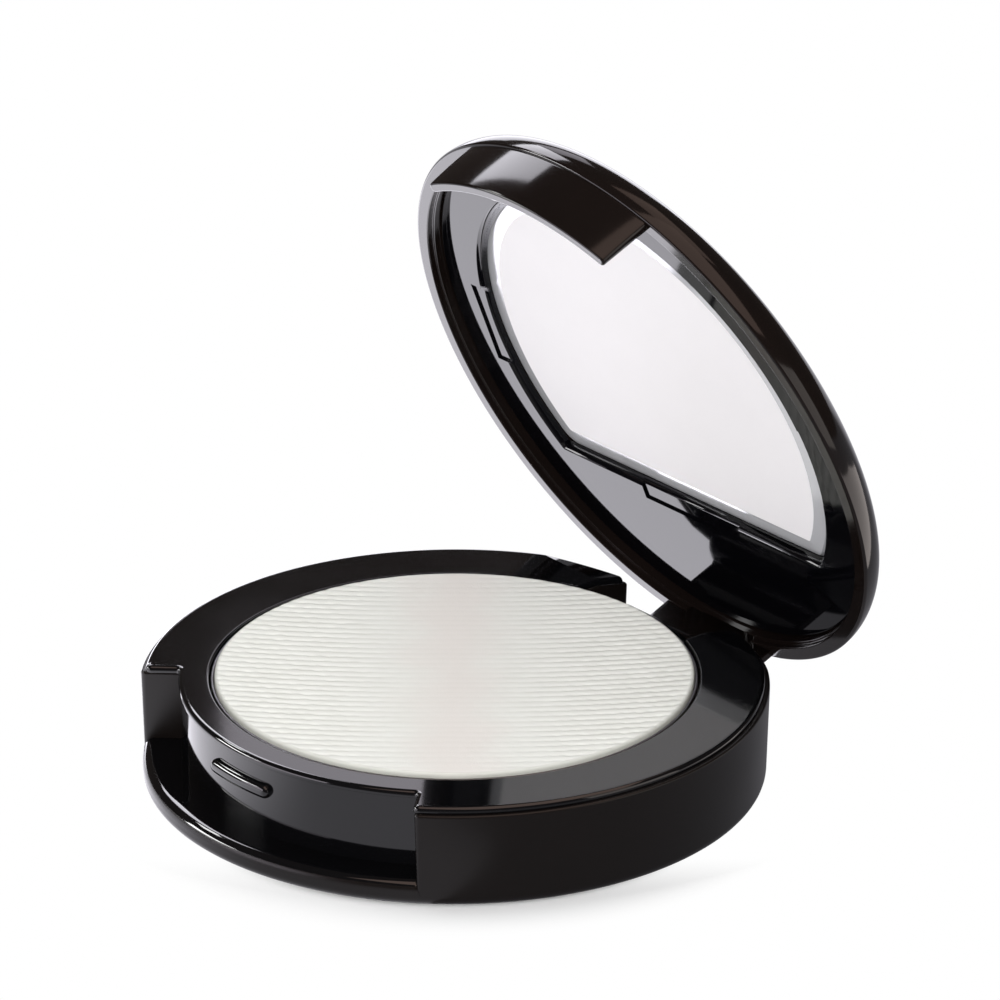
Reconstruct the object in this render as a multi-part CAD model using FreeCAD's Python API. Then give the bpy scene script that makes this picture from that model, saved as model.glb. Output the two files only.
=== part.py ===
import FreeCAD, Part
import math
import os

# Round pressed-powder compact, shown with its lid standing open. Millimetres, +Z up.
# The origin is the middle of the underside, the front (finger notch) faces -Y and the hinge is at +Y.

# Powder pan and the well that it is glued into
pan_radius = 29.5
pan_depth = 3.5
pan_sheet = 0.4
pan_corner = 0.8
pan_set = 0.2
pan_clearance = 0.2
well_wall = 1.0
well_floor = 1.0
glue_radius = 12.0
glue_thickness = 0.2

# Pressed powder
powder_clearance = 0.05
powder_rise = 0.6
powder_shoulder = 0.3

# Lower case
case_wall = 1.5
case_floor = 1.5
case_draft = 0.35
base_height = 12.8
foot_round = 1.2
wall_round = 0.3

# Deck, the top ring of the inner tray
deck_thickness = 0.85
deck_inset = 0.6
deck_round = 0.5
deck_lip = 0.3
spigot_clearance = 0.15
spigot_wall = 1.0
spigot_length = 1.6

# Finger notch at the front, with its ledge
notch_half_angle = 43.2
notch_band = 3.4
notch_depth = 5.1
notch_wall = 1.2
notch_end_wall = 1.3
ledge_height = 3.1
ledge_round = 1.3

# Moulded catch on the notch's inner wall
catch_length = 10.8
catch_drop = 3.05
catch_height = 1.9
catch_proud = 0.9
catch_edge_share = 0.25
catch_end_share = 0.48

# Hinge
knuckle_width = 19.6
knuckle_side_gap = 0.3
knuckle_web = 2.1
barrel_radius = 3.4
barrel_gap = 0.4
hinge_strip = 0.2
hinge_strip_drop = 0.7
hinge_floor = 1.3
swing_gap = 0.25
pin_radius = 0.75
pin_length = 9.6
pin_press = 0.01
pin_running = 0.05
ear_thickness = 4.0
gap_wall = 1.2
relief_angle = 12.5
relief_band = 1.5
open_angle = 68.0

# Lid
lid_gap = 0.1
lid_overhang = 0.3
lid_height = 6.2
lid_shoulder = 5.0
lid_straight = 0.4
rim_width = 1.9
rim_round = 0.4
rim_step = 0.3
rim_step_depth = 0.9

# Tongue of the lid, with the hook under the catch
tongue_half_angle = 25.5
tongue_wall = 1.7
tongue_inset = 0.3
tongue_round = 0.3
finger_gap = 2.5
hook_half_angle = 9.0
hook_gap = 0.3
hook_clearance = 0.25

# Mirror, its frame plate and its tape
frame_depth = 2.0
frame_thickness = 0.95
frame_clearance = 0.15
window_radius = 30.0
window_chord = 18.1
window_slope = 1.0
glass_under_frame = 0.4
glass_thickness = 1.1
glass_bevel = 2.4
glass_bevel_drop = 0.35
pocket_clearance = 0.6
tape_thickness = 0.4
tape_inset = 3.0
recess_depth = 0.3
side_recess_reach = 1.3
side_recess_length = 12.0
chord_recess_reach = 2.0
chord_recess_length = 18.0

# Radii that follow
well_radius = pan_radius + pan_clearance
well_outer = well_radius + well_wall
notch_radius = well_radius + notch_band
case_radius = notch_radius + notch_depth
deck_radius = case_radius - deck_inset
wall_inner = case_radius - case_wall
lid_radius = case_radius + lid_overhang
rim_inner = lid_radius - rim_width
seat_radius = rim_inner - rim_step

# Heights that follow
shell_top = base_height - deck_thickness
pan_rim = base_height - pan_set
pan_bottom = pan_rim - pan_depth
well_bottom = pan_bottom - glue_thickness
catch_top = base_height - catch_drop
catch_bottom = catch_top - catch_height
rim_height = base_height + lid_gap
tongue_bottom = ledge_height + finger_gap

# Hinge places that follow
gap_front = well_outer + hinge_strip
gap_half = knuckle_width / 2 + knuckle_side_gap
hinge_back = gap_front + barrel_gap + barrel_radius
hinge_height = hinge_floor + swing_gap + case_radius - hinge_back
relief_start = well_radius + relief_band

# Lid planes that follow, in the closed lid
frame_face = rim_height + frame_depth
glass_face = frame_face + frame_thickness
glass_back = glass_face + glass_thickness
pocket_top = glass_back + tape_thickness
glass_radius = window_radius - window_slope + glass_under_frame
glass_chord = window_chord - window_slope + glass_under_frame

# Room for cutting tools, and the bite of one solid into the next before they are joined
reach = 4 * case_radius
bite = 0.2

ORIGIN = FreeCAD.Vector(0, 0, 0)
UP = FreeCAD.Vector(0, 0, 1)
ACROSS = FreeCAD.Vector(1, 0, 0)
HINGE = FreeCAD.Vector(0, hinge_back, hinge_height)


def rounded_face(corners):
    """Flat face inside straight runs between corners, each (point, rounding radius)."""
    stretches = []
    for index, (point, radius) in enumerate(corners):
        before = (corners[index - 1][0] - point).normalize()
        after = (corners[(index + 1) % len(corners)][0] - point).normalize()
        half = before.getAngle(after) / 2
        if radius == 0:
            stretches.append((point, None, point))
            continue
        run = radius / math.tan(half)
        middle = point + (before + after).normalize() * (radius / math.sin(half) - radius)
        stretches.append((point + before * run, middle, point + after * run))
    edges = []
    for index, (enter, middle, leave) in enumerate(stretches):
        if middle is not None:
            edges.append(Part.Arc(enter, middle, leave).toShape())
        edges.append(Part.LineSegment(leave, stretches[(index + 1) % len(stretches)][0]).toShape())
    return Part.Face(Part.Wire(edges))


def turned(corners, sweep=360, middle=0):
    """Turn an outline of (radius, height, rounding) about Z, over sweep degrees centred on the
    middle angle, which is counted from the front (-Y) towards +X."""
    places = [(FreeCAD.Vector(radius, 0, height), rounding) for radius, height, rounding in corners]
    solid = rounded_face(places).revolve(ORIGIN, UP, sweep)
    solid.rotate(ORIGIN, UP, middle - 90 - sweep / 2)
    return solid


def ring(inner, outer, low, high, sweep=360, middle=0):
    """Plain ring or ring sector of rectangular section."""
    return turned([(inner, low, 0), (outer, low, 0), (outer, high, 0), (inner, high, 0)], sweep, middle)


def block(x_range, y_range, z_range):
    """Box between two values on each axis."""
    size = [high - low for low, high in (x_range, y_range, z_range)]
    return Part.makeBox(*size, FreeCAD.Vector(x_range[0], y_range[0], z_range[0]))


def across_cylinder(radius, x_range):
    """Cylinder along X about the hinge axis."""
    start = FreeCAD.Vector(x_range[0], hinge_back, hinge_height)
    return Part.makeCylinder(radius, x_range[1] - x_range[0], start, ACROSS)


def above_deck(height):
    """All the space above a deck line: flat at this height, then falling to the rear for the lid."""
    low = height - (reach - relief_start) * math.tan(math.radians(relief_angle))
    outline = [(-reach, height), (relief_start, height), (reach, low), (reach, reach), (-reach, reach)]
    face = rounded_face([(FreeCAD.Vector(-reach, y, z), 0) for y, z in outline])
    return face.extrude(ACROSS * (2 * reach))


def hinge_gap():
    """Gap in the rear of the base that the lid's knuckle turns in."""
    return block((-gap_half, gap_half), (gap_front, reach), (hinge_floor, reach))


def degrees_of(length, radius):
    """Angle that a length spans along a circle."""
    return math.degrees(length / radius)


def base_shell():
    foot_radius = case_radius - case_draft
    shell = turned([
        (0, 0, 0),
        (foot_radius, 0, foot_round),
        (case_radius, shell_top, wall_round),
        (wall_inner, shell_top, 0),
        (wall_inner, case_floor, 0),
        (0, case_floor, 0),
    ])
    end_angle = degrees_of(notch_end_wall, notch_radius)
    skirt_inner = notch_radius - notch_wall
    ledge_sweep = 2 * (notch_half_angle + end_angle)
    shell = shell.fuse(ring(skirt_inner, wall_inner + bite, case_floor - bite, ledge_height, ledge_sweep))
    for side in (-1, 1):
        middle = side * (notch_half_angle + end_angle / 2)
        end_wall = ring(notch_radius, wall_inner + bite, case_floor - bite, shell_top, end_angle, middle)
        shell = shell.fuse(end_wall)
        ear_x = sorted((side * gap_half, side * (gap_half + ear_thickness)))
        ear = block(ear_x, (0, case_radius), (case_floor - bite, shell_top))
        shell = shell.fuse(ear.common(ring(well_outer + spigot_clearance, wall_inner + bite, 0, reach)))
    gap_x = gap_half + ear_thickness
    wall_z = (case_floor - bite, well_bottom - well_floor - spigot_clearance)
    shell = shell.fuse(block((-gap_x, gap_x), (gap_front - gap_wall, gap_front), wall_z))
    notch_room = turned([
        (skirt_inner - bite, ledge_height, 0),
        (case_radius, ledge_height, 0),
        (case_radius, ledge_height - ledge_round, 0),
        (case_radius + reach, ledge_height - ledge_round, 0),
        (case_radius + reach, reach, 0),
        (skirt_inner - bite, reach, 0),
    ], 2 * notch_half_angle)
    ledge_edge = turned([
        (skirt_inner - bite, case_floor - bite, 0),
        (case_radius, case_floor - bite, 0),
        (case_radius, ledge_height, ledge_round),
        (skirt_inner - bite, ledge_height, 0),
    ], 2 * notch_half_angle)
    shell = shell.cut(notch_room.cut(ledge_edge))
    shell = shell.cut(hinge_gap()).cut(above_deck(shell_top))
    pin_reach = gap_half + ear_thickness + bite
    return shell.cut(across_cylinder(pin_radius + pin_press, (-pin_reach, pin_reach)))


def deck_tray():
    low = shell_top - (case_radius - relief_start) * math.tan(math.radians(relief_angle))
    lip_radius = notch_radius + deck_lip
    lip_sweep = 2 * (notch_half_angle - degrees_of(deck_lip, lip_radius))
    end_angle = degrees_of(notch_end_wall, notch_radius)
    deck = turned([
        (well_radius, low, 0),
        (deck_radius, low, 0),
        (deck_radius, base_height, deck_round),
        (well_radius, base_height, 0),
    ])
    deck = deck.cut(ring(lip_radius, case_radius, low - bite, base_height + bite, lip_sweep))
    deck = deck.common(above_deck(shell_top)).cut(above_deck(base_height))
    skirt_inner = notch_radius - notch_wall
    skirt = ring(skirt_inner, notch_radius, ledge_height, shell_top + bite, 2 * notch_half_angle)
    deck = deck.fuse(skirt)
    spigot_outer = wall_inner - spigot_clearance
    spigot = ring(spigot_outer - spigot_wall, spigot_outer, shell_top - spigot_length, shell_top + bite)
    notch_sector = 2 * (notch_half_angle + end_angle + degrees_of(spigot_clearance, notch_radius))
    spigot = spigot.cut(ring(well_radius, case_radius, low - spigot_length, base_height, notch_sector))
    spigot = spigot.cut(block((-reach, reach), (relief_start, reach), (0, reach)))
    deck = deck.fuse(spigot)
    deck = deck.fuse(turned([
        (0, well_bottom - well_floor, 0),
        (well_outer, well_bottom - well_floor, 0),
        (well_outer, base_height - deck_round, 0),
        (well_radius, base_height - deck_round, 0),
        (well_radius, well_bottom, 0),
        (0, well_bottom, 0),
    ]))
    low_strip = block((-gap_half, gap_half), (0, reach), (pan_rim - hinge_strip_drop, reach))
    return deck.cut(hinge_gap()).cut(low_strip).fuse(catch())


def catch():
    """Bar on the notch's inner wall with round ends and rounded edges."""
    half = catch_length / 2
    end_round = catch_height * catch_end_share
    edge_round = catch_height * catch_edge_share
    corners = [(-half, catch_bottom), (half, catch_bottom), (half, catch_top), (-half, catch_top)]
    face = rounded_face([(FreeCAD.Vector(x, -case_radius, z), end_round) for x, z in corners])
    bar = face.extrude(FreeCAD.Vector(0, notch_depth + catch_proud, 0))
    return bar.common(turned([
        (notch_radius - bite, catch_bottom, 0),
        (notch_radius + catch_proud, catch_bottom, edge_round),
        (notch_radius + catch_proud, catch_top, edge_round),
        (notch_radius - bite, catch_top, 0),
    ], 2 * notch_half_angle))


def powder_pan():
    return turned([
        (0, pan_bottom, 0),
        (pan_radius, pan_bottom, pan_corner),
        (pan_radius, pan_rim, 0),
        (pan_radius - pan_sheet, pan_rim, 0),
        (pan_radius - pan_sheet, pan_bottom + pan_sheet, pan_corner - pan_sheet),
        (0, pan_bottom + pan_sheet, 0),
    ])


def powder_cake():
    radius = pan_radius - pan_sheet - powder_clearance
    bottom = pan_bottom + pan_sheet
    return turned([
        (0, bottom, 0),
        (radius, bottom, pan_corner),
        (radius, pan_rim + powder_rise, powder_shoulder),
        (0, pan_rim + powder_rise, 0),
    ])


def pan_glue():
    return Part.makeCylinder(glue_radius, glue_thickness, FreeCAD.Vector(0, 0, well_bottom))


def hinge_pin(side):
    outer = gap_half + ear_thickness
    return across_cylinder(pin_radius, sorted((side * outer, side * (outer - pin_length))))


def lid_dome():
    """Outside of the lid: straight side, round shoulder and a shallow crown that meets it smoothly."""
    shoulder_x = lid_radius - lid_shoulder
    shoulder_z = lid_straight
    drop = lid_height - shoulder_z
    crown = (shoulder_x ** 2 + drop ** 2 - lid_shoulder ** 2) / (2 * (drop - lid_shoulder))
    crown_z = lid_height - crown
    tilt = math.atan2(shoulder_x, shoulder_z - crown_z)
    meet = (shoulder_x + lid_shoulder * math.sin(tilt), shoulder_z + lid_shoulder * math.cos(tilt))
    half_turn = (math.pi / 2 + tilt) / 2
    mid_x = shoulder_x + lid_shoulder * math.sin(half_turn)
    mid_z = shoulder_z + lid_shoulder * math.cos(half_turn)
    crown_mid = (crown * math.sin(tilt / 2), crown_z + crown * math.cos(tilt / 2))

    def at(place):
        return FreeCAD.Vector(place[0], 0, rim_height + place[1])

    side_low = (lid_radius, rim_round)
    rim_mid_x = lid_radius - rim_round + rim_round * math.sin(math.pi / 4)
    rim_mid_z = rim_round - rim_round * math.cos(math.pi / 4)
    edges = [
        Part.LineSegment(at((0, 0)), at((lid_radius - rim_round, 0))),
        Part.Arc(at((lid_radius - rim_round, 0)), at((rim_mid_x, rim_mid_z)), at(side_low)),
        Part.Arc(at(meet), at(crown_mid), at((0, lid_height))),
        Part.LineSegment(at((0, lid_height)), at((0, 0))),
    ]
    if lid_straight > rim_round:
        edges.insert(2, Part.LineSegment(at(side_low), at((lid_radius, lid_straight))))
    edges.insert(-2, Part.Arc(at((lid_radius, lid_straight)), at((mid_x, mid_z)), at(meet)))
    return Part.Face(Part.Wire([edge.toShape() for edge in edges])).revolve(ORIGIN, UP, 360)


def knuckle():
    """Rear web and barrel of the lid, flush with the case outside and round about the hinge pins."""
    web_front = case_radius - knuckle_web
    turn = barrel_radius * math.sin(math.pi / 4)

    def at(y, z):
        return FreeCAD.Vector(-knuckle_width / 2, y, z)

    low = at(hinge_back, hinge_height - barrel_radius)
    front = at(hinge_back - barrel_radius, hinge_height)
    high = at(hinge_back, hinge_height + barrel_radius)
    heel = at(case_radius, hinge_height)
    heel_reach = case_radius - hinge_back
    heel_mid = at(hinge_back + heel_reach * math.sin(math.pi / 4), hinge_height - turn)
    web_low = at(web_front, hinge_height + barrel_radius)
    web_high = at(web_front, rim_height + bite)
    outer_high = at(case_radius, rim_height + bite)
    edges = [
        Part.Arc(heel, heel_mid, low),
        Part.Arc(low, at(hinge_back - turn, hinge_height - turn), front),
        Part.Arc(front, at(hinge_back - turn, hinge_height + turn), high),
        Part.LineSegment(high, web_low),
        Part.LineSegment(web_low, web_high),
        Part.LineSegment(web_high, outer_high),
        Part.LineSegment(outer_high, heel),
    ]
    solid = Part.Face(Part.Wire([edge.toShape() for edge in edges])).extrude(ACROSS * knuckle_width)
    solid = solid.common(Part.makeCylinder(case_radius, reach))
    for side in (-1, 1):
        inner_end = gap_half + ear_thickness - pin_length - swing_gap
        bore = sorted((side * inner_end, side * (knuckle_width / 2 + bite)))
        solid = solid.cut(across_cylinder(pin_radius + pin_running, bore))
    return solid


def lid_shell():
    lid = lid_dome()
    lid = lid.cut(ring(0, rim_inner, rim_height - bite, rim_height + rim_step_depth))
    lid = lid.cut(ring(0, seat_radius, rim_height, glass_face))
    lid = lid.cut(ring(0, glass_radius + pocket_clearance, rim_height, pocket_top))
    tongue_outer = lid_radius - tongue_inset
    lid = lid.fuse(turned([
        (tongue_outer - tongue_wall, tongue_bottom, tongue_round),
        (tongue_outer, tongue_bottom, tongue_round),
        (tongue_outer, rim_height + bite, 0),
        (tongue_outer - tongue_wall, rim_height + bite, 0),
    ], 2 * tongue_half_angle))
    hook_inner = notch_radius + catch_proud + hook_clearance
    hook_top = catch_bottom - hook_gap
    hook_outer = tongue_outer - tongue_wall + bite
    lid = lid.fuse(turned([
        (hook_inner, hook_top, 0),
        (hook_inner, (hook_top + tongue_bottom) / 2, 0),
        (hook_outer, tongue_bottom + tongue_round, 0),
        (hook_outer, hook_top, 0),
    ], 2 * hook_half_angle))
    return lid.fuse(knuckle())


def d_shape(radius, chord, height):
    """Outline of a circle cut off straight on its hinge side."""
    half = math.sqrt(radius ** 2 - chord ** 2)
    left = FreeCAD.Vector(-half, chord, height)
    right = FreeCAD.Vector(half, chord, height)
    arc = Part.Arc(left, FreeCAD.Vector(0, -radius, height), right).toShape()
    return Part.Wire([arc, Part.LineSegment(right, left).toShape()])


def mirror_frame():
    plate = ring(0, seat_radius - frame_clearance, frame_face, glass_face)
    wide = d_shape(window_radius, window_chord, frame_face)
    narrow = d_shape(window_radius - window_slope, window_chord - window_slope, glass_face)
    plate = plate.cut(Part.makeLoft([wide, narrow], True))
    recess_z = (frame_face - bite, frame_face + recess_depth)
    half = side_recess_length / 2
    for side in (-1, 1):
        recess_x = sorted((0, side * (window_radius + side_recess_reach)))
        plate = plate.cut(block(recess_x, (-half, half), recess_z))
    half = chord_recess_length / 2
    return plate.cut(block((-half, half), (0, window_chord + chord_recess_reach), recess_z))


def mirror():
    edge = glass_face + glass_bevel_drop
    face = d_shape(glass_radius - glass_bevel, glass_chord - glass_bevel, glass_face)
    rim = d_shape(glass_radius, glass_chord, edge)
    body = Part.Face(rim).extrude(UP * (glass_back - edge))
    return body.fuse(Part.makeLoft([face, rim], True))


def mirror_tape():
    outline = d_shape(glass_radius - tape_inset, glass_chord - tape_inset, glass_back)
    return Part.Face(outline).extrude(UP * tape_thickness)


def opened(solid):
    """Swing a piece of the closed lid up about the hinge to where the lid stands open."""
    swung = solid.copy()
    swung.rotate(HINGE, ACROSS, -open_angle)
    return swung


pieces = {
    "base_shell": base_shell(),
    "deck_tray": deck_tray(),
    "powder_pan": powder_pan(),
    "powder_cake": powder_cake(),
    "pan_adhesive": pan_glue(),
    "hinge_pin_left": hinge_pin(-1),
    "hinge_pin_right": hinge_pin(1),
    "lid_shell": opened(lid_shell()),
    "mirror_frame": opened(mirror_frame()),
    "mirror": opened(mirror()),
    "mirror_tape": opened(mirror_tape()),
}

os.makedirs("parts", exist_ok=True)
for name, shape in pieces.items():
    shape = shape.removeSplitter()
    print(name, shape.isValid(), len(shape.Solids), round(shape.Volume, 2))
    shape.exportStep("parts/" + name + ".step")
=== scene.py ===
import bmesh
import bpy
import math
import numpy as np
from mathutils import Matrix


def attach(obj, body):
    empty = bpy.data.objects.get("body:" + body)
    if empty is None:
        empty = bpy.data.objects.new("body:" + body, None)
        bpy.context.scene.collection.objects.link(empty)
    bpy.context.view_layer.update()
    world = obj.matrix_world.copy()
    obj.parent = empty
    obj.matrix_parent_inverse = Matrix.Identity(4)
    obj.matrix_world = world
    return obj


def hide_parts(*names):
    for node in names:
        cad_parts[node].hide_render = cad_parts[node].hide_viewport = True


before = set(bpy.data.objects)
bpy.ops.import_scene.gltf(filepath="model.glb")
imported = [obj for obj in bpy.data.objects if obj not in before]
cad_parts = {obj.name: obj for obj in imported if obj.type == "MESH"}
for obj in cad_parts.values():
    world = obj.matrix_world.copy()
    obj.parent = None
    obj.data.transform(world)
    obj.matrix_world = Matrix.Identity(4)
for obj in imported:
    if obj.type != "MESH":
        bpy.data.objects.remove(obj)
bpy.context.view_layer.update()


# Lower case: a round cup of black moulded plastic with a faint brown cast. Its side is satin and drafted,
# its foot is rounded, and a wide finger notch with a ledge is cut into the front. Sizes are in millimetres
# and angles in degrees.
MM = 0.001
case_radius = 38.2
foot_radius = 37.85
foot_round = 1.2
shell_top = 11.95
shell_round = 0.3
hinge_floor = 1.3
ledge_height = 3.1
ledge_round = 1.3
ledge_inner = 32.5
ledge_middle = 35.0
notch_radius = 33.1
notch_half = 43.2
notch_inset = 0.4
wall_start = 28.9
wall_end_round = 0.7
wall_notch_round = 0.3
wall_top_depth = 0.65
wall_low_depth = 0.95
wall_middle_depth = 0.6
gap_half = 10.1
gap_front = 30.9
gap_wall_top = 7.7
gap_wall_depth = 0.5
flat_inset = 0.62
relief_start = 31.2
relief_slope = math.tan(math.radians(12.5))
case_draft = (case_radius - foot_radius) / shell_top
hidden_round = 0.03
lap = 0.05


def linear(code):
    """Scene-linear colour of a hex code."""
    parts = np.array([int(code[i:i + 2], 16) for i in (1, 3, 5)]) / 255
    return [*np.where(parts > 0.04045, ((parts + 0.055) / 1.055) ** 2.4, parts / 12.92), 1.0]


def rounded(corners, steps=9):
    """Polyline through (a, b, radius) corners. Each inner corner gives way to an arc of that radius that
    touches both straight runs, with a point just outside each end of the arc to keep the runs flat."""
    beside = 0.02
    points = np.array([corner[:2] for corner in corners], float)
    line = [points[:1]]
    for index in range(1, len(points) - 1):
        here = points[index]
        before = points[index - 1] - here
        before = before / np.linalg.norm(before)
        after = points[index + 1] - here
        after = after / np.linalg.norm(after)
        half = 0.5 * math.acos(np.clip(before @ after, -1, 1))
        radius = corners[index][2]
        run = radius / math.tan(half)
        centre = here + (before + after) / np.linalg.norm(before + after) * radius / math.sin(half)
        sweep = math.pi - 2 * half
        part = np.linspace(0, 1, steps)[:, None]
        first = here + before * run - centre
        last = here + after * run - centre
        bend = centre + (np.sin((1 - part) * sweep) * first + np.sin(part * sweep) * last) / math.sin(sweep)
        line += [[here + before * (run + beside)], bend, [here + after * (run + beside)]]
    return np.concatenate(line + [points[-1:]])


def lathe(profile, start, end, step=1.0):
    """Grid of points: a (radius, height) profile turned about Z from start to end degrees, counted from
    the front (-Y) towards +X."""
    turn = np.radians(np.linspace(start, end, int(abs(end - start) / step) + 2))[:, None]
    radius, height = np.asarray(profile).T
    return np.stack([radius * np.sin(turn), -radius * np.cos(turn), height + 0 * turn], -1)


def arc(centre, radius, start, end, count):
    """Points of a circle in plan, from start to end degrees counted from -Y towards +X."""
    turn = np.radians(np.linspace(start, end, count))
    return np.stack([centre[0] + radius * np.sin(turn), centre[1] - radius * np.cos(turn)], -1)


def carry(profile, path):
    """Grid of points: a profile of (outward, height) steps carried along a path in plan. Outward is square
    to the path, on the right of its direction."""
    along = np.gradient(path, axis=0)
    along = along / np.linalg.norm(along, axis=1)[:, None]
    out = np.stack([along[:, 1], -along[:, 0]], -1)
    plan = path[:, None] + profile[None, :, :1] * out[:, None]
    return np.dstack([plan, np.broadcast_to(profile[:, 1], plan.shape[:2])])


def half_outline(outer, inner, half_angle, gap, outer_round, inner_round, gap_start):
    """Left half of the base's outline in plan: up the side of the hinge gap, round the outer circle to the
    relief line and on to the notch, in along the notch's end and round its inner circle to the front. The
    corners are arcs that touch both neighbours. Also returns the index at which each run ends."""
    hair = 0.03
    past_line = 0.5
    gap_x = -gap - outer_round
    gap_y = math.sqrt((outer - outer_round) ** 2 - gap_x ** 2)
    gap_turn = 180 + math.degrees(math.asin(-gap_x / (outer - outer_round)))
    notch_turn = 360 - half_angle - math.degrees(math.asin(outer_round / (outer - outer_round)))
    inner_turn = -half_angle + math.degrees(math.asin(inner_round / (inner + inner_round)))
    line_turn = 360 - math.degrees(math.acos(-relief_start / (outer - flat_inset)))
    round_centre = arc((0, 0), outer - outer_round, notch_turn, notch_turn, 1)[0]
    inner_centre = arc((0, 0), inner + inner_round, inner_turn, inner_turn, 1)[0]
    runs = [
        [[-gap, gap_start], [-gap, relief_start]],
        arc((gap_x, gap_y), outer_round, 90, gap_turn, 12),
        arc((0, 0), outer, gap_turn + hair, line_turn, 40),
        arc((0, 0), outer, line_turn + past_line, notch_turn - hair, 150),
        arc(round_centre, outer_round, notch_turn, 450 - half_angle, 12),
        arc(inner_centre, inner_round, -half_angle - 90, inner_turn - 180, 8),
        arc((0, 0), inner, inner_turn + hair, 0, 90),
    ]
    return np.concatenate(runs), np.cumsum([len(run) for run in runs])


def flipped(grid):
    """The same grid on the other side of the YZ plane, with its rows reversed to keep its outside out."""
    return grid[::-1] * np.array([-1, 1, 1])


def relieved(grid):
    """The grid with its height falling behind the relief line, where the lid swings."""
    return grid - np.maximum(grid[..., 1:2] - relief_start, 0) * np.array([0, 0, relief_slope])


def capped(grid):
    """The two flat ends of a grid whose profile is a closed loop."""
    return [grid[0, :-1], grid[-1, -2::-1]]


def block(low, high):
    """Six flat faces of an upright box between two corners."""
    x, y, z = (np.array([low[axis], high[axis]]) for axis in range(3))
    corner = np.stack(np.meshgrid(x, y, z, indexing="ij"), -1).reshape(8, 3)
    faces = [(0, 1, 3, 2), (4, 6, 7, 5), (0, 4, 5, 1), (2, 3, 7, 6), (0, 2, 6, 4), (1, 5, 7, 3)]
    return [corner[list(face)] for face in faces]


def piece(name, grids, plates, material, sealed=0):
    """Mesh object in metres: each grid of points becomes smooth quads, each plate one flat face, and points
    that coincide are joined. Where sealed is given, open loops of up to that many edges are closed with a
    face, and the faces of the closed shells are then turned outwards."""
    weld = 0.002 * MM
    speck = 0.0001 * MM
    points = []
    faces = []
    start = 0
    for grid in grids:
        rows, columns = grid.shape[:2]
        index = start + np.arange(rows * columns).reshape(rows, columns)
        corners = [index[:-1, :-1], index[1:, :-1], index[1:, 1:], index[:-1, 1:]]
        faces += np.stack(corners, -1).reshape(-1, 4).tolist()
        points.append(grid.reshape(-1, 3))
        start += rows * columns
    smooth = len(faces)
    for plate in plates:
        faces.append(list(range(start, start + len(plate))))
        points.append(np.asarray(plate, float))
        start += len(plate)
    mesh = bpy.data.meshes.new(name)
    mesh.from_pydata((np.concatenate(points) * MM).tolist(), [], faces)
    mesh.polygons.foreach_set("use_smooth", np.arange(len(faces)) < smooth)
    work = bmesh.new()
    work.from_mesh(mesh)
    bmesh.ops.remove_doubles(work, verts=work.verts, dist=weld)
    bmesh.ops.dissolve_degenerate(work, edges=work.edges, dist=speck)
    if sealed:
        bmesh.ops.holes_fill(work, edges=work.edges, sides=sealed)
        bmesh.ops.recalc_face_normals(work, faces=work.faces)
    work.to_mesh(mesh)
    work.free()
    mesh.materials.append(material)
    made = bpy.data.objects.new(name, mesh)
    bpy.context.scene.collection.objects.link(made)
    return made


def add(tree, kind, settings, links=()):
    """One shader node with its settings and its links, each (input, node, output). The setting named tones
    holds the hex codes along a colour ramp."""
    made = tree.nodes.new(kind)
    for key, value in settings.items():
        if key == "tones":
            for stop, code in zip(made.color_ramp.elements, value):
                stop.color = linear(code)
        elif isinstance(key, int) or key in made.inputs:
            made.inputs[key].default_value = value
        else:
            setattr(made, key, value)
    for socket, source, output in links:
        tree.links.new(source.outputs[output], made.inputs[socket])
    return made


def bare(name):
    """New material with nothing in its node tree, and that tree."""
    made = bpy.data.materials.new(name)
    made.use_nodes = True
    made.node_tree.nodes.clear()
    return made, made.node_tree


def plastic(name, tones, roughness, spread, grain, depth, shine):
    """Black moulded plastic: the colour drifts a little between two blacks over centimetres, the polish
    varies by spread in smears, a fine grain (size in mm) lifts the surface by depth in mm, and shine is the
    strength of its reflections."""
    drift_size = 18 * MM
    smear_size = 7 * MM
    made, tree = bare(name)
    place = add(tree, "ShaderNodeTexCoord", {})
    drift = add(tree, "ShaderNodeTexNoise", {"Scale": 1 / drift_size, "Detail": 3.0},
                [("Vector", place, "Object")])
    tone = add(tree, "ShaderNodeValToRGB", {"tones": tones}, [("Fac", drift, "Fac")])
    smear = add(tree, "ShaderNodeTexNoise", {"Scale": 1 / smear_size, "Detail": 5.0},
                [("Vector", place, "Object")])
    polish = add(tree, "ShaderNodeMapRange", {"To Min": roughness - spread, "To Max": roughness + spread},
                 [("Value", smear, "Fac")])
    fine = add(tree, "ShaderNodeTexNoise", {"Scale": 1 / (grain * MM), "Detail": 2.0},
               [("Vector", place, "Object")])
    bump = add(tree, "ShaderNodeBump", {"Strength": 1.0, "Distance": depth * MM}, [("Height", fine, "Fac")])
    shader = add(tree, "ShaderNodeBsdfPrincipled", {"IOR": 1.5, "Specular IOR Level": shine},
                 [("Base Color", tone, "Color"), ("Roughness", polish, "Result"), ("Normal", bump, "Normal")])
    add(tree, "ShaderNodeOutputMaterial", {}, [("Surface", shader, "BSDF")])
    return made


# Satin black ABS: soft broad highlights and a slightly brown black where the light grazes it. The grain of
# the mould is drawn at 0.25 mm, coarser than the real one, so that it shows.
satin_black = plastic("satin black ABS", ("#0A0807", "#110D0C"), roughness=0.30, spread=0.04,
                      grain=0.25, depth=0.004, shine=0.26)
# Polished black ABS: sharp, dark reflections of the table with hardly any colour of its own.
gloss_black = plastic("polished black ABS", ("#050506", "#09090B"), roughness=0.06, spread=0.02,
                      grain=1.2, depth=0.0006, shine=0.55)
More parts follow.
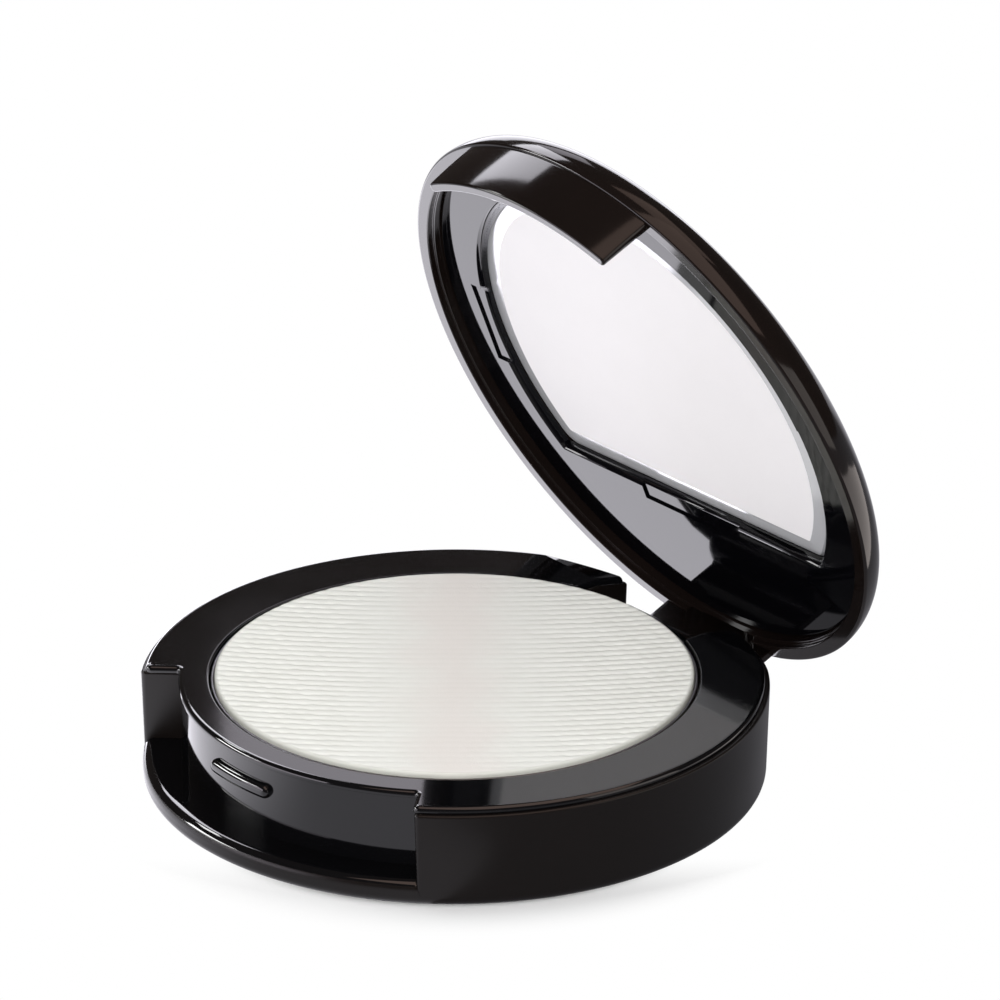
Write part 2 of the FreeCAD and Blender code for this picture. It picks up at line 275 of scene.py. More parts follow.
# Foot, ledge, walls and the back wall of the hinge gap are closed shells; they lap at the seam, where the
# outside runs on flush.
seam = hinge_floor - lap
foot_top = hinge_floor + hidden_round
foot = rounded([
    (0, 0, 0), (foot_radius, 0, foot_round),
    (foot_radius + hinge_floor * case_draft, foot_top, hidden_round), (0, foot_top, 0),
])
ledge = rounded([
    (ledge_middle, seam, 0), (foot_radius + seam * case_draft, seam, hidden_round),
    (foot_radius + ledge_height * case_draft, ledge_height, ledge_round),
    (ledge_inner, ledge_height, hidden_round), (ledge_inner, seam, hidden_round), (ledge_middle, seam, 0),
])
front_ledge = lathe(ledge, -notch_half - 1, notch_half + 1)
wall = rounded([
    (-wall_middle_depth, seam, 0), ((seam - shell_top) * case_draft, seam, hidden_round),
    (0, shell_top, shell_round), (-wall_top_depth, shell_top, hidden_round),
    (-wall_low_depth, seam, hidden_round), (-wall_middle_depth, seam, 0),
])
wall_path, wall_runs = half_outline(case_radius, notch_radius - notch_inset, notch_half, gap_half,
                                    wall_end_round, wall_notch_round, wall_start)
# The wall stops a few points into the corner behind the notch, under the deck.
wall_side = relieved(carry(wall, wall_path[:wall_runs[4] + 4]))
wall_ends = capped(wall_side)
gap_wall = block((-gap_half, gap_front - gap_wall_depth, hinge_floor), (gap_half, gap_front, gap_wall_top))
case = piece("case", [lathe(foot, 0, 360), front_ledge, wall_side, flipped(wall_side)],
             [*capped(front_ledge), *wall_ends, *[flipped(end) for end in wall_ends], *gap_wall], satin_black)
case.data.materials.append(gloss_black)
# The ledge and the foot of the walls beside it are polished; the outside stays satin.
polished_radius = foot_radius - 0.1
polished_band = 0.6
middles = np.empty(3 * len(case.data.polygons))
case.data.polygons.foreach_get("center", middles)
middles = middles.reshape(-1, 3) / MM
inside = np.hypot(middles[:, 0], middles[:, 1]) < polished_radius
on_ledge = inside & (np.abs(middles[:, 2] - ledge_height) < polished_band)
case.data.polygons.foreach_set("material_index", on_ledge.astype(np.int32))
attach(case, "base")
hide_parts("base_shell")


# Inner tray: polished black plastic. Its deck covers the case with a rounded edge, its round well takes the
# powder pan, and its skirt closes the finger notch and carries the moulded catch.
deck_radius = 37.6
deck_top = 12.8
deck_round = 0.6
deck_start = 28.0
deck_end_round = 0.8
deck_notch_round = 0.4
rim_depth = 1.0
rim_edge = 0.08
lip_radius = 33.45
lip_half = 42.9
well_radius = 29.7
well_edge = 0.3
well_floor = 9.0
strip_top = 11.9
strip_low = 7.9
strip_depth = 1.0
skirt_low = 3.0
skirt_high = 12.05
skirt_depth = 0.8
catch_length = 10.8
catch_height = 1.9
catch_middle = 8.8
catch_proud = 0.9
catch_sunk = 0.05
catch_square = 0.85

# A point left off the end of a profile, here and below, only gives the next arc its direction.
rim = rounded([(-rim_depth, shell_top, 0), (0, shell_top, rim_edge), (0, deck_top, deck_round),
               (-1, deck_top, 0)])[:-1]
deck_path, deck_runs = half_outline(deck_radius, lip_radius, lip_half, gap_half, deck_end_round,
                                    deck_notch_round, deck_start)
relief_index = deck_runs[2] - 1
deck_rim = carry(rim, deck_path)
# The front end lies on the middle plane, so that both halves join.
deck_rim[-1, :, 0] = 0
deck_edge = deck_rim[:, -1]
well_turn = -180 + math.degrees(math.asin((gap_half + flat_inset) / (well_radius + well_edge)))
well = rounded([(well_radius + 1, deck_top, 0), (well_radius, deck_top, well_edge),
                (well_radius, well_floor, 0)])[1:]
well_side = lathe(well, 0, well_turn)[::-1]
deck_flat = np.concatenate([deck_edge[relief_index:], well_side[::-1, 0], deck_edge[1:2]])
deck_slope = relieved(deck_edge[1:relief_index + 1])
deck_rim = relieved(deck_rim)
strip = lathe([(well_radius, well_floor), (well_radius, strip_top), (well_radius + strip_depth, strip_top),
               (well_radius + strip_depth, strip_low)], 360 + well_turn, -well_turn)
skirt_middle = notch_radius - skirt_depth / 2
skirt_inner = notch_radius - skirt_depth
skirt = lathe(rounded([
    (skirt_middle, skirt_low, 0), (notch_radius, skirt_low, hidden_round),
    (notch_radius, skirt_high, hidden_round), (skirt_inner, skirt_high, hidden_round),
    (skirt_inner, skirt_low, hidden_round), (skirt_middle, skirt_low, 0),
]), -notch_half, notch_half)


def catch_bar():
    """Rounded bar on the notch wall: along it the half height keeps level and closes in a half circle at
    each end; across it a squared half oval rises from the wall to the bar's full depth."""
    half = catch_length / 2
    place = half * np.sin(np.linspace(-math.pi / 2, math.pi / 2, 60))[:, None]
    end = np.clip((np.abs(place) - half + catch_height / 2) / (catch_height / 2), 0, 1)
    size = np.sqrt(1 - end ** 2)
    turn = np.linspace(0, math.pi, 33)[None, :]
    rise = np.sign(np.cos(turn)) * np.abs(np.cos(turn)) ** catch_square
    depth = np.abs(np.sin(turn)) ** catch_square
    radius = notch_radius - catch_sunk + (catch_proud + catch_sunk) * depth * np.sqrt(size)
    spin = place / notch_radius
    height = catch_middle + catch_height / 2 * rise * size
    return np.stack([radius * np.sin(spin), -radius * np.cos(spin), height], -1)


tray = piece("tray",
             [deck_rim, flipped(deck_rim), well_side, flipped(well_side), strip, skirt, catch_bar()[::-1]],
             [deck_flat, flipped(deck_flat), deck_slope, flipped(deck_slope)], gloss_black)
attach(tray, "base")
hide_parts("deck_tray")


# Powder pan: a thin dish pressed from aluminium sheet and glued into the tray's well. Only its rolled rim
# shows round the powder.
pan_radius = 29.5
pan_wall = 0.4
pan_low = 9.1
pan_floor = 9.5
pan_rim = 12.6
pan_foot_round = 0.6
pan_rim_round = 0.18
pan_floor_round = 0.2


def aluminium():
    """Pressed metal whose tone and polish follow turned rings about Z. The rings are drawn 0.63 mm apart,
    coarser than real drawing marks, so that they show."""
    made, tree = bare("dull aluminium")
    place = add(tree, "ShaderNodeTexCoord", {})
    rings = add(tree, "ShaderNodeTexWave", {"wave_type": "RINGS", "rings_direction": "Z", "Scale": 0.5 / MM,
                                            "Distortion": 1.0}, [("Vector", place, "Object")])
    polish = add(tree, "ShaderNodeMapRange", {"To Min": 0.42, "To Max": 0.55}, [("Value", rings, "Fac")])
    tone = add(tree, "ShaderNodeValToRGB", {"tones": ("#707074", "#7C7C80")}, [("Fac", rings, "Fac")])
    shader = add(tree, "ShaderNodeBsdfPrincipled", {"Metallic": 1.0},
                 [("Base Color", tone, "Color"), ("Roughness", polish, "Result")])
    add(tree, "ShaderNodeOutputMaterial", {}, [("Surface", shader, "BSDF")])
    return made


# Dull aluminium: a thin grey line with a soft glint along the rolled edge.
dull_metal = aluminium()
pan_inner = pan_radius - pan_wall
dish = rounded([
    (0, pan_low, 0), (pan_radius, pan_low, pan_foot_round), (pan_radius, pan_rim, pan_rim_round),
    (pan_inner, pan_rim, pan_rim_round), (pan_inner, pan_floor, pan_floor_round), (0, pan_floor, 0),
])
pan = piece("pan", [lathe(dish, 0, 360)], [], dull_metal)
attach(pan, "base")
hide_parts("powder_pan")


# Pressed powder: an off-white cake proud of its pan. The press cloth leaves fine ribs across it, which fade
# in a worn, slightly pink band down the middle.
cake_radius = 29.05
cake_top = 13.2
cake_low = 9.5
cake_round = 0.4
cake_lines = 400
cake_points = 181
rib_pitch = 1.4
rib_depth = 0.1
rib_bow = 0.003
rib_turn = 50.13
rib_waver = 0.035
worn_half = 13.0
worn_share = 0.95
# Width of the painted shade round the rim of the cake.
rim_shade_width = 0.5
mottle_size = 4.0
blotch_size = 9.0
ragged_size = 2.5
patch_size = 3.0
pore_size = 0.22
pore_depth = 0.03
waver_waves = [(1.0, 4.3, 3.9), (0.8, 1.9, -2.7)]
depth_waves = [(0.25, 3.7, -2.3), (0.3, 1.7, 3.1)]


def ripple(u, v, waves):
    """Sum of sine waves over the disc, each (height, length along the ribs, length across them)."""
    return sum(height * np.sin(2 * math.pi * (u / along + v / across)) for height, along, across in waves)


def ribbed_disc():
    """Round cake: lines across the disc, about ten to a rib, each cut to its chord. The height falls in a
    quarter circle at the edge and follows a squared cosine across the ribs. Two crossed sine waves make the
    ribs waver, two more make them deeper and shallower, and the worn band in the middle flattens them."""
    across = np.linspace(-1, 1, cake_lines)[:, None] * cake_radius
    along = np.sin(np.linspace(-math.pi / 2, math.pi / 2, cake_points))[None, :]
    u = along * np.sqrt(np.maximum(cake_radius ** 2 - across ** 2, 0))
    v = across + 0 * u
    edge = np.clip((np.hypot(u, v) - cake_radius + cake_round) / cake_round, 0, 1)
    worn = 1 - worn_share * np.exp(-(u / worn_half) ** 2)
    place = v - rib_bow * u ** 2 + rib_waver * ripple(u, v, waver_waves)
    wave = (0.5 - 0.5 * np.cos(2 * math.pi * place / rib_pitch)) ** 2
    groove = rib_depth * worn * (1 + ripple(u, v, depth_waves)) * wave * (1 - edge)
    height = cake_top - cake_round * (1 - np.sqrt(1 - edge ** 2)) - groove
    side = math.sin(math.radians(rib_turn))
    ahead = math.cos(math.radians(rib_turn))
    return np.stack([u * ahead - v * side, u * side + v * ahead, height], -1)


def powder():
    """Matte pressed powder: off-white with soft mottling and a ragged pink band along the middle, with
    painted shade greyer in the grooves by the cosine of the ribs and painted shade greyer round the rim. The
    pores are drawn at 0.22 mm, about ten times the real grains, so that they show."""
    made, tree = bare("pressed powder")
    place = add(tree, "ShaderNodeTexCoord", {})
    turned = add(tree, "ShaderNodeMapping", {"Rotation": (0, 0, -math.radians(rib_turn))},
                 [("Vector", place, "Object")])
    axes = add(tree, "ShaderNodeSeparateXYZ", {}, [("Vector", turned, "Vector")])
    away = add(tree, "ShaderNodeMath", {"operation": "ABSOLUTE"}, [(0, axes, "X")])
    mottle = add(tree, "ShaderNodeTexNoise",
                 {"Scale": 1 / (mottle_size * MM), "Detail": 6.0, "Roughness": 0.6},
                 [("Vector", place, "Object")])
    tone = add(tree, "ShaderNodeValToRGB", {"tones": ("#E2E2DC", "#E9E9E4")}, [("Fac", mottle, "Fac")])
    # Pink band: full at the middle, gone some 9 mm out, with a blotchy edge.
    blotch = add(tree, "ShaderNodeTexNoise", {"Scale": 1 / (blotch_size * MM), "Detail": 3.0},
                 [("Vector", place, "Object")])
    strayed = add(tree, "ShaderNodeMath", {"operation": "MULTIPLY_ADD", 1: -blotch_size * MM},
                  [(0, blotch, "Fac"), (2, away, "Value")])
    band = add(tree, "ShaderNodeMapRange", {"interpolation_type": "SMOOTHSTEP", "From Min": -4.0 * MM,
                                            "From Max": 4.5 * MM, "To Min": 1.0, "To Max": 0.0},
               [("Value", strayed, "Value")])
    pink = add(tree, "ShaderNodeMix", {"data_type": "RGBA", 7: linear("#E4DFDA")},
               [("Factor", band, "Result"), (6, tone, "Color")])
    # Painted shade in the grooves: the bowed ribs again, ragged and patchy, stronger away from the worn
    # middle.
    bow = add(tree, "ShaderNodeMath", {"operation": "POWER", 1: 2.0}, [(0, away, "Value")])
    rib_line = add(tree, "ShaderNodeMath", {"operation": "MULTIPLY_ADD", 1: -rib_bow / MM},
                   [(0, bow, "Value"), (2, axes, "Y")])
    ragged = add(tree, "ShaderNodeTexNoise", {"Scale": 1 / (ragged_size * MM), "Detail": 4.0},
                 [("Vector", place, "Object")])
    shift = add(tree, "ShaderNodeMapRange", {"To Min": -0.9, "To Max": 0.9}, [("Value", ragged, "Fac")])
    phase = add(tree, "ShaderNodeMath", {"operation": "MULTIPLY_ADD", 1: 2 * math.pi / (rib_pitch * MM)},
                [(0, rib_line, "Value"), (2, shift, "Result")])
    ridge = add(tree, "ShaderNodeMath", {"operation": "COSINE"}, [(0, phase, "Value")])
    groove = add(tree, "ShaderNodeMapRange",
                 {"From Min": -1.0, "From Max": 0.2, "To Min": 1.0, "To Max": 0.0},
                 [("Value", ridge, "Value")])
    kept = add(tree, "ShaderNodeMapRange", {"interpolation_type": "SMOOTHSTEP", "From Min": 4.0 * MM,
                                            "From Max": 24.0 * MM, "To Min": 0.05, "To Max": 0.34},
               [("Value", away, "Value")])
    patchy = add(tree, "ShaderNodeTexNoise", {"Scale": 1 / (patch_size * MM), "Detail": 3.0},
                 [("Vector", turned, "Vector")])
    filled = add(tree, "ShaderNodeMapRange",
                 {"From Min": 0.35, "From Max": 0.65, "To Min": 0.25, "To Max": 1.3},
                 [("Value", patchy, "Fac")])
    strong = add(tree, "ShaderNodeMath", {"operation": "MULTIPLY"},
                 [(0, filled, "Result"), (1, kept, "Result")])
    shade = add(tree, "ShaderNodeMath", {"operation": "MULTIPLY"},
                [(0, groove, "Result"), (1, strong, "Value")])
    # Painted shade: the grooves are mixed towards grey, where shade would fall in them.
    groove_shaded = add(tree, "ShaderNodeMix", {"data_type": "RGBA", 7: linear("#BDBDB4")},
                 [("Factor", shade, "Value"), (6, pink, 2)])
    # Rim: painted shade, a grey line in the last half millimetre.
    plan = add(tree, "ShaderNodeVectorMath", {"operation": "MULTIPLY", 1: (1, 1, 0)}, [(0, place, "Object")])
    reach = add(tree, "ShaderNodeVectorMath", {"operation": "LENGTH"}, [(0, plan, "Vector")])
    rim_shade = add(tree, "ShaderNodeMapRange", {"From Min": (cake_radius - rim_shade_width) * MM,
                                              "From Max": cake_radius * MM, "To Min": 0.0, "To Max": 0.8},
                 [("Value", reach, "Value")])
    rim_shaded = add(tree, "ShaderNodeMix", {"data_type": "RGBA", 7: linear("#A8A8A0")},
                [("Factor", rim_shade, "Result"), (6, groove_shaded, 2)])
    pores = add(tree, "ShaderNodeTexNoise", {"Scale": 1 / (pore_size * MM), "Detail": 3.0},
                [("Vector", place, "Object")])
    bump = add(tree, "ShaderNodeBump", {"Strength": 0.6, "Distance": pore_depth * MM},
               [("Height", pores, "Fac")])
    shader = add(tree, "ShaderNodeBsdfPrincipled", {"Roughness": 0.9, "Specular IOR Level": 0.2},
                 [("Base Color", rim_shaded, 2), ("Normal", bump, "Normal")])
    add(tree, "ShaderNodeOutputMaterial", {}, [("Surface", shader, "BSDF")])
    return made


# Pressed powder: dull and even, with only the ribs and pores for the eye to catch.
matte_powder = powder()
cake_face = ribbed_disc()
cake_rim = np.concatenate([cake_face[:, 0], cake_face[::-1, -1]])
cake_foot = cake_rim * np.array([1, 1, 0]) + np.array([0, 0, cake_low])
cake_base = np.concatenate([cake_foot[:cake_lines], cake_foot[cake_lines + 1:-1]])
cake = piece("cake", [cake_face[::-1], np.stack([cake_rim, cake_foot], 1)], [cake_base], matte_powder)
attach(cake, "base")
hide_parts("powder_cake")


# Glue under the pan and tape behind the mirror: acrylic layers, both thin and hidden. Their solids are
# shown as they are, with a milky material.
def milky(name, tones):
    """Soft adhesive: a cloudy tone between two shades over 5 mm."""
    made, tree = bare(name)
    place = add(tree, "ShaderNodeTexCoord", {})
    cloud = add(tree, "ShaderNodeTexNoise", {"Scale": 1 / (5 * MM), "Detail": 3.0},
                [("Vector", place, "Object")])
    tone = add(tree, "ShaderNodeValToRGB", {"tones": tones}, [("Fac", cloud, "Fac")])
    shader = add(tree, "ShaderNodeBsdfPrincipled", {"Roughness": 0.6}, [("Base Color", tone, "Color")])
    add(tree, "ShaderNodeOutputMaterial", {}, [("Surface", shader, "BSDF")])
    return made


def coat(names, material):
    """Gives solids of the frame this material in place of their own."""
    for name in names:
        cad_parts[name].data.materials.clear()
        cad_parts[name].data.materials.append(material)


# Acrylic glue: cloudy white, seen only when the pan is taken out.
coat(("pan_adhesive", "mirror_tape"), milky("acrylic glue", ("#D8D6D0", "#E6E4DE")))


# Hinge pins: two short drawn steel pins, pressed into the ears of the case. Their solids are shown as they
# are, and only their ends could be seen.
scratch_length = 6.0
scratch_width = 0.1


def steel():
    """Drawn steel wire: tone and polish follow long scratches along X."""
    made, tree = bare("drawn steel")
    place = add(tree, "ShaderNodeTexCoord", {})
    along, across = 1 / (scratch_length * MM), 1 / (scratch_width * MM)
    drawn = add(tree, "ShaderNodeMapping", {"Scale": (along, across, across)}, [("Vector", place, "Object")])
    scratch = add(tree, "ShaderNodeTexNoise", {"Scale": 1.0, "Detail": 4.0}, [("Vector", drawn, "Vector")])
    polish = add(tree, "ShaderNodeMapRange", {"To Min": 0.2, "To Max": 0.45}, [("Value", scratch, "Fac")])
    tone = add(tree, "ShaderNodeValToRGB", {"tones": ("#8C8C90", "#A8A8AC")}, [("Fac", scratch, "Fac")])
    shader = add(tree, "ShaderNodeBsdfPrincipled", {"Metallic": 1.0},
                 [("Base Color", tone, "Color"), ("Roughness", polish, "Result")])
    add(tree, "ShaderNodeOutputMaterial", {}, [("Surface", shader, "BSDF")])
    return made


# Drawn steel: a small grey glint in the ear.
coat(("hinge_pin_left", "hinge_pin_right"), steel())


# Lid: a shallow dome of the same black plastic, shown swung open. Its rim steps in to seat the mirror frame,
# a curved tongue at the front fills the finger notch, and a knuckle at the rear turns on the pins.
hinge_y = 34.7
hinge_z = 5.05
open_angle = 68
rim_height = 12.9
rim_round = 0.37
rim_inner = 36.6
rim_inner_round = 0.15
rim_step = 0.9
step_round = 0.08
lid_radius = 38.5
lid_height = 6.2
lid_shoulder = 5.0
lid_straight = 0.4
seat_radius = 36.3
seat_depth = 2.95
seat_round = 0.1
pocket_radius = 29.5
pocket_depth = 4.45
tongue_half = 25.5
tongue_outer = 38.2
tongue_inner = 36.5
tongue_low = 5.6
tongue_edge = 0.7
tongue_foot_round = 0.3
tongue_root = 0.3
tongue_bow = 0.4
hook_tip = 34.9
hook_low = 5.9
hook_nose = 7.0
hook_top = 7.55
hook_round = 0.15
hook_root = 0.1
hook_turns = (-9, 6)
knuckle_half = 9.8
barrel_radius = 3.4
web_front = 36.1
web_back = 38.15
web_low = 8.75
web_chamfer = 0.3
web_root = 1.0
web_lift = 0.05


def opened(grid):
    """Points of the closed lid turned about the hinge axis to the open angle."""
    turn = math.radians(open_angle)
    y = np.asarray(grid)[..., 1] - hinge_y
    z = np.asarray(grid)[..., 2] - hinge_z
    return np.stack([np.asarray(grid)[..., 0], hinge_y + y * math.cos(turn) + z * math.sin(turn),
                     hinge_z - y * math.sin(turn) + z * math.cos(turn)], -1)


# The dome's section: a wide crown arc, a shoulder arc that touches it and the straight side, then the rim
# and the stepped seat inside.
crown_x = lid_radius - lid_shoulder
crown_drop = lid_height - lid_straight
crown = (crown_x ** 2 + crown_drop ** 2 - lid_shoulder ** 2) / (2 * (crown_drop - lid_shoulder))
crown_turn = math.asin(crown_x / (crown - lid_shoulder))
top_turn = np.linspace(0, crown_turn, 40)
side_turn = np.linspace(crown_turn, math.pi / 2, 30)[1:]
rim_line = rounded([
    (lid_radius, lid_straight, 0), (lid_radius, 0, rim_round), (rim_inner, 0, rim_inner_round),
    (rim_inner, rim_step, step_round), (seat_radius, rim_step, seat_round),
    (seat_radius, seat_depth, seat_round), (pocket_radius, seat_depth, seat_round),
    (pocket_radius, pocket_depth, seat_round), (0, pocket_depth, 0),
])
dome = np.concatenate([
    np.stack([crown * np.sin(top_turn), lid_height - crown + crown * np.cos(top_turn)], -1),
    np.stack([crown_x + lid_shoulder * np.sin(side_turn),
              lid_straight + lid_shoulder * np.cos(side_turn)], -1),
    rim_line[2:],
]) + np.array([0, rim_height])


def tongue_outline():
    """Closed sector in plan between the tongue's two circles, with its four upright edges rounded."""
    hair = 0.03
    far = math.degrees(math.asin(tongue_edge / (tongue_outer - tongue_edge)))
    near = math.degrees(math.asin(tongue_edge / (tongue_inner + tongue_edge)))
    outer_turn = tongue_half - far
    inner_turn = tongue_half - near
    outer_right = arc((0, 0), tongue_outer - tongue_edge, outer_turn, outer_turn, 1)[0]
    inner_right = arc((0, 0), tongue_inner + tongue_edge, inner_turn, inner_turn, 1)[0]
    mirrored = np.array([-1, 1])
    runs = [
        arc((0, 0), tongue_outer, -outer_turn + hair, outer_turn - hair, 90),
        arc(outer_right, tongue_edge, outer_turn, tongue_half + 90, 10),
        arc(inner_right, tongue_edge, tongue_half + 90, inner_turn + 180, 10),
        arc((0, 0), tongue_inner, inner_turn - hair, -inner_turn + hair, 90),
        arc(inner_right * mirrored, tongue_edge, 180 - inner_turn, 270 - tongue_half, 10),
        arc(outer_right * mirrored, tongue_edge, 270 - tongue_half, 360 - outer_turn, 10),
    ]
    path = np.concatenate(runs)
    return np.concatenate([path, path[:1]])


def bowed(grid):
    """The tongue with its outside drawn in by the square of the drop below the rim, up to the bow."""
    radius = np.hypot(grid[..., 0], grid[..., 1])
    drop = np.clip((rim_height - grid[..., 2]) / (rim_height - tongue_low), 0, 1)
    outside = (radius - tongue_inner) / (tongue_outer - tongue_inner)
    shrink = 1 - tongue_bow * drop ** 2 * outside / radius
    return grid * np.stack([shrink, shrink, np.ones_like(shrink)], -1)


tongue_line = rounded([(-1, tongue_low, 0), (0, tongue_low, tongue_foot_round),
                       (0, rim_height + tongue_root, 0)])[1:]
tongue_side = np.linspace(tongue_line[-2], tongue_line[-1], 14)[1:]
tongue = bowed(carry(np.concatenate([tongue_line[:-1], tongue_side]), tongue_outline()))
hook = lathe(rounded([
    (tongue_inner + hook_root, hook_low, 0), (hook_tip, hook_nose, hook_round),
    (hook_tip, hook_top, hook_round), (tongue_inner + hook_root, hook_top, 0),
]), *hook_turns)
knuckle_line = np.concatenate([
    [(web_front, rim_height + web_root), (web_front, web_low),
     (web_front - web_chamfer, web_low - web_chamfer)],
    np.array([hinge_y, hinge_z]) + arc((0, 0), barrel_radius, 180, 450, 60),
    [(web_back, hinge_z + web_lift), (web_back, rim_height + web_root)],
])
knuckle_x = np.linspace(-knuckle_half, knuckle_half, 41)[:, None]
knuckle_y = np.minimum(knuckle_line[None, :, 0], np.sqrt(web_back ** 2 - knuckle_x ** 2))
knuckle = np.stack([knuckle_x + 0 * knuckle_y, knuckle_y, knuckle_line[None, :, 1] + 0 * knuckle_y], -1)
# Buffed black ABS: shows the pale card on its left and turns warm and soft on its right.
buffed_black = plastic("buffed black ABS", ("#0E0A09", "#16100E"), roughness=0.09, spread=0.02,
                       grain=0.8, depth=0.001, shine=0.34)
lid_grids = [lathe(dome, 360, 0), tongue, hook[::-1], knuckle[::-1]]
lid_plates = [tongue[-2::-1, 0], hook[0, ::-1], hook[-1], knuckle[0, ::-1], knuckle[-1]]
# The upper ends of tongue, hook and knuckle lie inside the dome's wall; the longest has 220 edges.
lid = piece("lid", [opened(grid) for grid in lid_grids], [opened(plate) for plate in lid_plates],
            buffed_black, sealed=230)
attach(lid, "lid")
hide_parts("lid_shell")


# Mirror frame: a flat ring of polished black plastic with a D-shaped window. The window's edge slopes down to
# the glass, and three shallow tool recesses break it, one on each side and one along the chord.
frame_depth = 2.0
frame_face = rim_height + frame_depth
glass_face = rim_height + seat_depth
frame_radius = 36.15
frame_round = 0.2
window_radius = 30.0
window_chord = 18.1
window_corner = 0.5
window_round = 0.12
slope_run = 1.0
side_reach = 31.3
side_half = 6.0
chord_reach = 20.1
chord_half = 9.0
recess_depth = 0.3
recess_meet = 0.316
recess_round = 0.06
recess_floor = frame_face + recess_depth


def d_half(radius, chord, corner, side, middle):
    """Left half of a D in plan, from the front round the circle to its corner and along the chord to the
    middle. Points lie at the given half lengths of the side and chord recesses; their indices follow."""
    hair = 0.05
    away = math.degrees(math.asin(side / radius))
    centre_y = chord - corner
    centre_x = -math.sqrt((radius - corner) ** 2 - centre_y ** 2)
    meet = math.degrees(math.atan2(centre_x, -centre_y))
    runs = [
        arc((0, 0), radius, 0, -90 + away, 60),
        arc((0, 0), radius, -90 + away, -90 - away, 14)[1:],
        arc((0, 0), radius, -90 - away, meet, 24)[1:],
        arc((centre_x, centre_y), corner, meet, -180, 8)[1:],
        [[centre_x + hair, chord], [-middle, chord], [0, chord]],
    ]
    ends = np.cumsum([len(run) for run in runs])
    return np.concatenate(runs), ends[0] - 1, ends[1] - 1, ends[3] + 1


def level(points, height):
    """Plan points at one height."""
    points = np.asarray(points, float)
    return np.column_stack([points[:, 0], points[:, 1], np.full(len(points), height)])


def upright(corners):
    """Flat upright faces between neighbouring plan points, from the frame's face to the recess floor."""
    top = level(corners, frame_face)
    foot = level(corners, recess_floor)
    return [np.array([top[i + 1], foot[i + 1], foot[i], top[i]]) for i in range(len(corners) - 1)]


# Moulded black ABS of the frame: duller than the tray, so it stays dark beside the white glass.
frame_black = plastic("moulded black ABS", ("#040406", "#07070A"), roughness=0.05, spread=0.015,
                      grain=1.2, depth=0.0006, shine=0.2)
window, side_low, side_high, chord_end = d_half(window_radius, window_chord, window_corner, side_half,
                                                chord_half)
slope = rounded([(-1, frame_face, 0), (0, frame_face, window_round), (slope_run, glass_face, 0)])[1:]
low_slope = rounded([(-1, recess_floor, 0), (recess_meet, recess_floor, recess_round),
                     (slope_run, glass_face, 0)])[1:]
edge = carry(slope, window)
low_edge = carry(low_slope, window)
# Both ends lie on the middle plane, so that the halves join; the same holds for the glass below.
edge[[0, -1], :, 0] = 0
low_edge[[0, -1], :, 0] = 0
side_corners = [(-side_reach, -side_half), (-side_reach, side_half)]
chord_corners = [(-chord_half, chord_reach), (0, chord_reach)]
frame_edge = rounded([(frame_radius - 1, frame_face, 0), (frame_radius, frame_face, frame_round),
                      (frame_radius, glass_face, 0)])[1:]
outer_edge = lathe(frame_edge, -180, 0)
frame_flat = np.concatenate([
    edge[:side_low + 1, 0], level(side_corners, frame_face), edge[side_high:chord_end + 1, 0],
    level(chord_corners, frame_face), outer_edge[:, 0],
])
side_floor = np.concatenate([level(side_corners, recess_floor), low_edge[side_high:side_low - 1:-1, 0]])
chord_floor = np.concatenate([low_edge[chord_end:, 0], level(chord_corners[::-1], recess_floor)])
frame_back = np.concatenate([edge[:, -1], outer_edge[:, -1]])
frame_grids = [edge[:side_low + 1], low_edge[side_low:side_high + 1], edge[side_high:chord_end + 1],
               low_edge[chord_end:], outer_edge]
frame_plates = [frame_flat[::-1], side_floor, chord_floor[::-1], frame_back,
                *upright([window[side_low], *side_corners, window[side_high]]),
                *upright([window[chord_end], *chord_corners])]
# The ends of the recesses close along loops of 27 edges.
ring = piece("mirror_ring", [opened(side) for grid in frame_grids for side in (grid, flipped(grid))],
             [opened(side) for plate in frame_plates for side in (plate, flipped(plate))],
             frame_black, sealed=30)
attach(ring, "lid")
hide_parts("mirror_frame")


# Mirror: a D of silvered glass with a ground bevel all round, taped into the lid. Its face has no silver
# and is painted an even near-white, a painted reflection of the pale room round it.
mirror_radius = 27.0
mirror_chord = 15.1
mirror_corner = 0.5
mirror_depth = 1.1
bevel_width = 2.4
bevel_drop = 0.35
bevel_ease = 0.05
bevel_foot = 0.03


def silvered(name, tones, silver, roughness, shine):
    """Mirror glass: a pale colour with faint cloudy wiping marks over 6 mm, more or less of bare silver and
    its polish. With no silver, the pale colour is a painted reflection of the pale room."""
    made, tree = bare(name)
    place = add(tree, "ShaderNodeTexCoord", {})
    cloud = add(tree, "ShaderNodeTexNoise", {"Scale": 1 / (6 * MM), "Detail": 4.0},
                [("Vector", place, "Object")])
    tone = add(tree, "ShaderNodeValToRGB", {"tones": tones}, [("Fac", cloud, "Fac")])
    shader = add(tree, "ShaderNodeBsdfPrincipled",
                 {"Metallic": silver, "Roughness": roughness, "Specular IOR Level": shine},
                 [("Base Color", tone, "Color")])
    add(tree, "ShaderNodeOutputMaterial", {}, [("Surface", shader, "BSDF")])
    return made


# Mirror face: an even pale white with no silver, a painted reflection of the pale room.
mirror_painted_white = silvered("reflection_painted mirror glass", ("#F2EFF2", "#F5F2F5"), silver=0.0,
                       roughness=0.35, shine=0.05)
